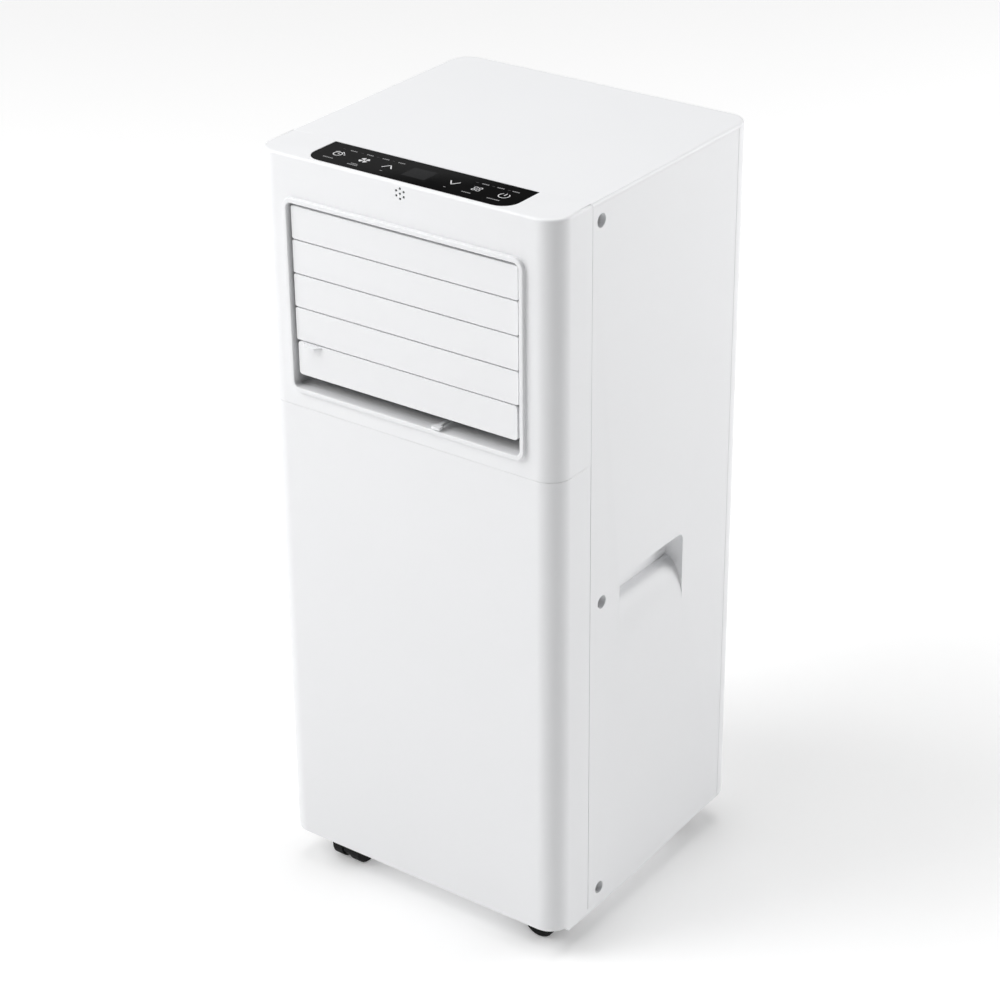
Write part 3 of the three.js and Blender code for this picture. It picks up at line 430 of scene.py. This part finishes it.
def screw(node, name):
    """A side screw with its head drawn in, so that more of the pocket's floor shows round it."""
    low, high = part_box(node)
    middle = (low + high) / 2

    def reshape(co):
        co.y = middle.y + (co.y - middle.y) * SCREW_SLIM
        co.z = middle.z + (co.z - middle.z) * SCREW_SLIM

    bm = node_bmesh(node, reshape)
    round_edges(bm, SCREW_ROUND, 2, lambda e: True)
    return finish_piece(bm, name, SCREW_STEEL, "root", [node])


# ---- Outlet rim ----------------------------------------------------------------------------
OPENING_HALF_W = 116.2 * MM
OPENING_LOW = 494 * MM
OPENING_HIGH = 660 * MM
OPENING_CORNER = 5 * MM
RIM_WIDTH = 4.2 * MM
RIM_INNER_ROUND = 0.9 * MM
RIM_OUTER_ROUND = 1.0 * MM
RIM_FOOT = 0.5 * MM
RIM_CLEAR = 0.06 * MM  # between the rim's inner wall and the cut edge of the panel
SILL_BACK = 1.6 * MM  # the rim's inner wall runs this far past the panel's back, over the duct
SILL_STEP = 0.9 * MM


def quarter(centre, radius, start, stop, steps):
    """Points round part of a circle, as (outward, y)."""
    points = []
    for i in range(steps + 1):
        a = math.radians(start + (stop - start) * i / steps)
        points.append((centre[0] + radius * math.cos(a), centre[1] + radius * math.sin(a)))
    return points


def rim_profile():
    """Section of the rim: inner wall, round front and outer wall with a small foot fillet."""
    front = RIM_FRONT
    inner, outer, foot = RIM_INNER_ROUND, RIM_OUTER_ROUND, RIM_FOOT
    sill = -HALF_D + WALL + SILL_BACK
    points = [(SILL_STEP, sill), (0, sill)]
    points += quarter((inner, front + inner), inner, 180, 270, 6)
    points += quarter((RIM_WIDTH - outer, front + outer), outer, 270, 360, 5)
    points += quarter((RIM_WIDTH + foot, -HALF_D - foot), foot, 180, 90, 4)
    return points


def outlet_rim():
    """The rim swept round the outlet's rounded rectangle."""
    steps = 10
    corners = [
        (OPENING_HALF_W, OPENING_LOW, -90), (OPENING_HALF_W, OPENING_HIGH, 0),
        (-OPENING_HALF_W, OPENING_HIGH, 90), (-OPENING_HALF_W, OPENING_LOW, 180),
    ]
    rays = []
    for x, z, start in corners:
        cx = x - math.copysign(OPENING_CORNER, x)
        cz = z + (OPENING_CORNER if z == OPENING_LOW else -OPENING_CORNER)
        for i in range(steps + 1):
            rays.append((cx, cz, math.radians(start + 90 * i / steps)))
    bm = bmesh.new()
    rings = []
    for cx, cz, a in rays:
        ring = []
        for reach, y in rim_profile():
            r = OPENING_CORNER - RIM_CLEAR + reach
            ring.append(bm.verts.new((cx + r * math.cos(a), y, cz + r * math.sin(a))))
        rings.append(ring)
    for here, there in zip(rings, rings[1:] + rings[:1]):
        for i in range(len(here) - 1):
            bm.faces.new((here[i], here[i + 1], there[i + 1], there[i]))
    bmesh.ops.recalc_face_normals(bm, faces=bm.faces)
    return finish_piece(bm, "outlet_rim", MATERIALS["shell"], "root", ["front_upper_panel"])


front_upper_panel()
outlet_rim()
panel_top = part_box("front_lower_panel")[1].z
cover_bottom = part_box("top_cover")[0].z
plain_panel("front_lower_panel", "lower_front_shell", close_seam(high=panel_top))
plain_panel("top_cover", "top_shell", close_seam(low=cover_bottom))
plain_panel("rear_panel", "rear_shell", rounded=rear_skin_edge)
plain_panel("side_panel_left", "left_side_shell")
plain_panel("side_panel_right", "right_side_shell")

for side in ("left", "right"):
    for place in ("upper", "middle", "lower"):
        screw(f"side_screw_{side}_{place}", f"{side}_{place}_screw_head")
for index in range(1, 6):
    softened(f"louvre_blade_{index}", f"louvre_slat_{index}", SLAT_ROUND)
softened("vane_link", "vane_lever_bar", LEVER_ROUND)
# The outlet channel takes the paler white: painted light lifting the shade inside the outlet.
softened("outlet_duct", "outlet_channel", DUCT_ROUND, material=OUTLET_PAINTED_LIGHT_WHITE)

# ---- Control strip -------------------------------------------------------------------------
LENS_DROP = 0.14 * MM  # the lens sits this far under the casing top, with the print on it
PRINT_Z = TOP - LENS_DROP + 0.05 * MM
UNDER_PRINT = 0.02 * MM
ICON_Y = -119.0
LABEL_Y = -129.6
LAMP_Y = -107.4
DISPLAY = (0, -118.2, 23.0, 18.5)  # middle, width and depth, in millimetres
LENS_ROUND = 0.2 * MM
SENSOR_Z = TOP - 8.7 * MM
SENSOR_SPREAD = 4.25 * MM
SENSOR_R = 1.1 * MM
SENSOR_DEPTH = 0.7 * MM

SYMBOLS_X = {"timer": -81, "fan": -55, "up": -30, "down": 34, "mode": 57, "power": 83}
# Where words would be on the lens: x, y and number of blocks, in millimetres.
KEY_LABELS = (
    (-84, LABEL_Y, 6), (-57, LABEL_Y, 4), (-57, LABEL_Y - 2.5, 6), (54, LABEL_Y, 5),
    (80, LABEL_Y, 7),
)
ARROW_MARKS_X = (-30, 33)
LAMP_LABELS_X = (-74.6, -57.9, -41.9, -25.9, 57.0, 71.7, 86.3)
LAMPS_X = (-84.5, -66.0, -50.0, -34.0, 49.0, 64.6, 79.6)


def control_lens():
    def reshape(co):
        if at_top(co):
            co.z -= LENS_DROP

    bm = node_bmesh("control_lens", reshape)
    round_edges(bm, LENS_ROUND, 2, lambda e: both(e, lambda co: co.z > TOP - 2 * LENS_DROP))
    return finish_piece(bm, "lens_strip", MATERIALS["lens"], "root", ["control_lens"])


def printed(name, outlines, material, z=PRINT_Z):
    """Thin print on the lens. Outlines are in millimetres."""
    bm = bmesh.new()
    for outline in outlines:
        bm.faces.new([bm.verts.new((x * MM, y * MM, z)) for x, y in outline])
    bmesh.ops.recalc_face_normals(bm, faces=bm.faces)
    for face in bm.faces:
        if face.normal.z < 0:
            face.normal_flip()
    return finish_piece(bm, name, material, "root")


def bar(x, y, wide, high):
    w, h = wide / 2, high / 2
    return [[(x - w, y - h), (x + w, y - h), (x + w, y + h), (x - w, y + h)]]


def dashes(x, y, count, wide=1.25, high=1.5, pitch=1.75):
    """A row of small blocks where a word would be."""
    start = x - pitch * (count - 1) / 2
    return [piece for i in range(count) for piece in bar(start + i * pitch, y, wide, high)]


def disc(x, y, r, steps=20):
    angles = [2 * math.pi * i / steps for i in range(steps)]
    return [[(x + r * math.cos(a), y + r * math.sin(a)) for a in angles]]


def sector(x, y, inner, outer, start, stop, steps=12):
    """Part of a ring between two angles in degrees."""
    angles = [math.radians(start + (stop - start) * i / steps) for i in range(steps + 1)]
    pieces = []
    for a, b in zip(angles, angles[1:]):
        pieces.append([
            (x + inner * math.cos(a), y + inner * math.sin(a)),
            (x + outer * math.cos(a), y + outer * math.sin(a)),
            (x + outer * math.cos(b), y + outer * math.sin(b)),
            (x + inner * math.cos(b), y + inner * math.sin(b)),
        ])
    return pieces


def stroke(points, width):
    """A line of a given width through some points, one block to each stretch."""
    pieces = []
    for (x0, y0), (x1, y1) in zip(points, points[1:]):
        length = math.hypot(x1 - x0, y1 - y0)
        ux, uy = (x1 - x0) / length, (y1 - y0) / length
        nx, ny = -uy * width / 2, ux * width / 2
        ex, ey = ux * width / 2, uy * width / 2
        pieces.append([
            (x0 - ex + nx, y0 - ey + ny), (x0 - ex - nx, y0 - ey - ny),
            (x1 + ex - nx, y1 + ey - ny), (x1 + ex + nx, y1 + ey + ny),
        ])
    return pieces


def timer_symbol(x, y):
    clock = sector(x - 1.2, y, 3.3, 4.2, 0, 360, 28)
    hands = stroke([(x - 1.2, y + 2.2), (x - 1.2, y), (x + 0.9, y)], 0.7)
    bells = sector(x - 1.2, y, 4.9, 5.8, 105, 150, 5) + sector(x - 1.2, y, 4.9, 5.8, 30, 75, 5)
    return clock + hands + bells + disc(x + 5.0, y + 0.6, 0.85)


def fan_symbol(x, y):
    pieces = disc(x, y, 0.7)
    for turn in range(0, 360, 90):
        pieces += sector(x, y, 1.3, 4.7, turn + 12, turn + 68, 5)
    return pieces


def chevron(x, y, up):
    tip = 3.1 if up else -3.1
    return stroke([(x - 4.4, y - tip), (x, y + tip), (x + 4.4, y - tip)], 1.05)


def mode_symbol(x, y):
    pieces = []
    for sx, sy in ((-1, -1), (1, 1)):
        pieces += sector(x + 2.2 * sx, y + 2.2 * sy, 1.05, 1.8, 0, 360, 16)
    for sx, sy in ((-1, 1), (1, -1)):
        cx, cy = x + 2.2 * sx, y + 2.2 * sy
        square = [(cx - 1.4, cy - 1.4), (cx + 1.4, cy - 1.4), (cx + 1.4, cy + 1.4)]
        pieces += stroke(square + [(cx - 1.4, cy + 1.4), square[0]], 0.7)
    return pieces


def power_symbol(x, y):
    return sector(x, y, 4.1, 4.95, 125, 415, 28) + stroke([(x, y + 0.6), (x, y + 4.4)], 0.9)


def control_print():
    x = SYMBOLS_X
    symbols = timer_symbol(x["timer"], ICON_Y) + fan_symbol(x["fan"], ICON_Y)
    symbols += chevron(x["up"], ICON_Y, True) + chevron(x["down"], ICON_Y, False)
    symbols += mode_symbol(x["mode"], ICON_Y) + power_symbol(x["power"], ICON_Y)
    printed("touch_symbols", symbols, INK)
    words = []
    for x, y, count in KEY_LABELS:
        words += dashes(x, y, count)
    for x in ARROW_MARKS_X:
        words += bar(x, LABEL_Y, 2.2, 0.8)
    for x in LAMP_LABELS_X:
        words += dashes(x, LAMP_Y, 4)
    printed("label_marks", words, LABEL_INK)
    lamps = []
    for x in LAMPS_X:
        lamps += bar(x, LAMP_Y, 2.6, 0.9)
    printed("lamp_windows", lamps, DIM_INK)
    printed("display_window", bar(*DISPLAY), WINDOW, PRINT_Z - UNDER_PRINT)


def sensor_windows():
    """Dark windows set a little way into the seven holes of the front."""
    bm = bmesh.new()
    spots = [(0, 0)]
    for i in range(6):
        a = math.radians(30 + 60 * i)
        spots.append((SENSOR_SPREAD * math.cos(a), SENSOR_SPREAD * math.sin(a)))
    for x, z in spots:
        place = Matrix.Translation((x, -HALF_D + SENSOR_DEPTH, SENSOR_Z + z))
        turn = Matrix.Rotation(math.radians(90), 4, "X")
        bmesh.ops.create_circle(
            bm, cap_ends=True, segments=12, radius=SENSOR_R, matrix=place @ turn,
        )
    return finish_piece(bm, "sensor_windows", MATERIALS["black"], "root")


control_lens()
control_print()
sensor_windows()

for node, obj in frame["nodes"].items():
    obj.data.materials.clear()
    obj.data.materials.append(MATERIALS[SLOTS[node]])


# ---- Stage ---------------------------------------------------------------------------------
LAMP_SIZE = 2.0
FLOOR_HALF = 14.0
WALL_BEARING = 36  # degrees, square to the camera
WALL_AWAY, WALL_HALF_W = 6.0, 6.0
WALL_BOTTOM, WALL_TOP = 0.01, 3.02
WALL_GLOW = 0.1
CAMERA_PLACE = (1.2175, -1.6882, 1.4542)
CAMERA_ANGLES = (36.034, 27.799, -0.612)  # azimuth, elevation and roll, in degrees
CAMERA_LENS, CAMERA_SENSOR = 95.87, 36.0  # millimetres


def aim(obj, place, target):
    direction = Vector(target) - Vector(place)
    obj.location = place
    obj.rotation_euler = direction.to_track_quat("-Z", "Y").to_euler()


def area_light(name, place, target, power):
    data = bpy.data.lights.new(name, "AREA")
    data.shape = "RECTANGLE"
    data.size = LAMP_SIZE
    data.size_y = LAMP_SIZE
    data.energy = power
    lamp = bpy.data.objects.new(name, data)
    SCENE.collection.objects.link(lamp)
    aim(lamp, place, target)
    return lamp


def glow_away_from_middle(n):
    """Paper that lights up with distance, so that the far sweep stays white."""
    away = n.new("ShaderNodeVectorMath", operation="LENGTH")
    n.link(n.new("ShaderNodeTexCoord").outputs["Object"], away.inputs[0])
    spread = n.new("ShaderNodeMapRange")
    n.link(away.outputs["Value"], spread.inputs["Value"])
    for socket, value in (("From Min", 0.4), ("From Max", 3.0), ("To Min", 0.2), ("To Max", 0.55)):
        spread.inputs[socket].default_value = value
    return spread.outputs["Result"]


def floor():
    bm = bmesh.new()
    bmesh.ops.create_grid(bm, x_segments=1, y_segments=1, size=FLOOR_HALF)
    n = Nodes("studio_paper")
    tone = n.ramp(n.noise(0.7), ((0.9, 0.9, 0.9), (0.93, 0.93, 0.93)))
    n.link(tone, n.shader.inputs["Base Color"])
    n.shader.inputs["Roughness"].default_value = 0.9
    n.shader.inputs["Specular IOR Level"].default_value = 0.0
    n.shader.inputs["Emission Color"].default_value = (1, 1, 1, 1)
    n.link(glow_away_from_middle(n), n.shader.inputs["Emission Strength"])
    plane = to_object(bm, "studio_floor", n.material)


def back_wall():
    """A dim wall far behind, which only shows as the upper tone of the polished lens."""
    bearing = math.radians(WALL_BEARING)
    across = Vector((math.cos(bearing), math.sin(bearing), 0)) * WALL_HALF_W
    middle = Vector((-math.sin(bearing), math.cos(bearing), 0)) * WALL_AWAY
    bm = bmesh.new()
    low, high = Vector((0, 0, WALL_BOTTOM)), Vector((0, 0, WALL_TOP))
    corners = [middle - across + low, middle + across + low]
    corners += [middle + across + high, middle - across + high]
    bm.faces.new([bm.verts.new(c) for c in corners])
    n = Nodes("wall_paint")
    tone = n.ramp(n.noise(0.5), ((0.05, 0.05, 0.05), (0.06, 0.06, 0.06)))
    n.link(tone, n.shader.inputs["Base Color"])
    n.shader.inputs["Roughness"].default_value = 0.9
    n.shader.inputs["Emission Color"].default_value = (1, 1, 1, 1)
    n.shader.inputs["Emission Strength"].default_value = WALL_GLOW
    wall = to_object(bm, "back_wall", n.material)
    wall.visible_camera = False


def world(strength, seen):
    """A dim world, so that the lens stays dark. Looked at directly it is as pale as the floor."""
    sky = bpy.data.worlds.new("studio")
    sky.use_nodes = True
    tree = sky.node_tree
    background = tree.nodes["Background"]
    background.inputs["Color"].default_value = (1, 1, 1, 1)
    path = tree.nodes.new("ShaderNodeLightPath")
    amount = tree.nodes.new("ShaderNodeMapRange")
    amount.inputs["To Min"].default_value = strength
    amount.inputs["To Max"].default_value = seen
    tree.links.new(path.outputs["Is Camera Ray"], amount.inputs["Value"])
    tree.links.new(amount.outputs["Result"], background.inputs["Strength"])
    SCENE.world = sky


def camera():
    """A long lens above and to the right of the front."""
    azimuth, elevation, roll = (math.radians(a) for a in CAMERA_ANGLES)
    back = Vector((
        math.sin(azimuth) * math.cos(elevation),
        -math.cos(azimuth) * math.cos(elevation),
        math.sin(elevation),
    ))
    right = Vector((0, 0, 1)).cross(back).normalized()
    up = back.cross(right)
    x_axis = math.cos(roll) * right + math.sin(roll) * up
    y_axis = -math.sin(roll) * right + math.cos(roll) * up
    turn = Matrix((x_axis, y_axis, back)).transposed().to_4x4()
    data = bpy.data.cameras.new("camera")
    data.sensor_width = CAMERA_SENSOR
    data.lens = CAMERA_LENS
    data.clip_end = 50
    eye = bpy.data.objects.new("camera", data)
    eye.matrix_world = Matrix.Translation(CAMERA_PLACE) @ turn
    SCENE.collection.objects.link(eye)
    SCENE.camera = eye


MIDDLE = (0, 0, 0.38)
floor()
back_wall()
world(strength=0.02, seen=0.72)
area_light("key_left", (-2.6, -1.9, 1.5), MIDDLE, 26)
area_light("key_middle", (-1.7, -1.7, 2.8), MIDDLE, 49)
area_light("key_high", (-0.82, -2.26, 2.8), MIDDLE, 22)
area_light("right_rear", (2.0, 2.5, 1.2), MIDDLE, 62)
area_light("overhead", (0, 0.3, 2.9), (0, 0, 0.7), 35)
camera()
SCENE.view_settings.view_transform = "Standard"
SCENE.view_settings.look = "None"
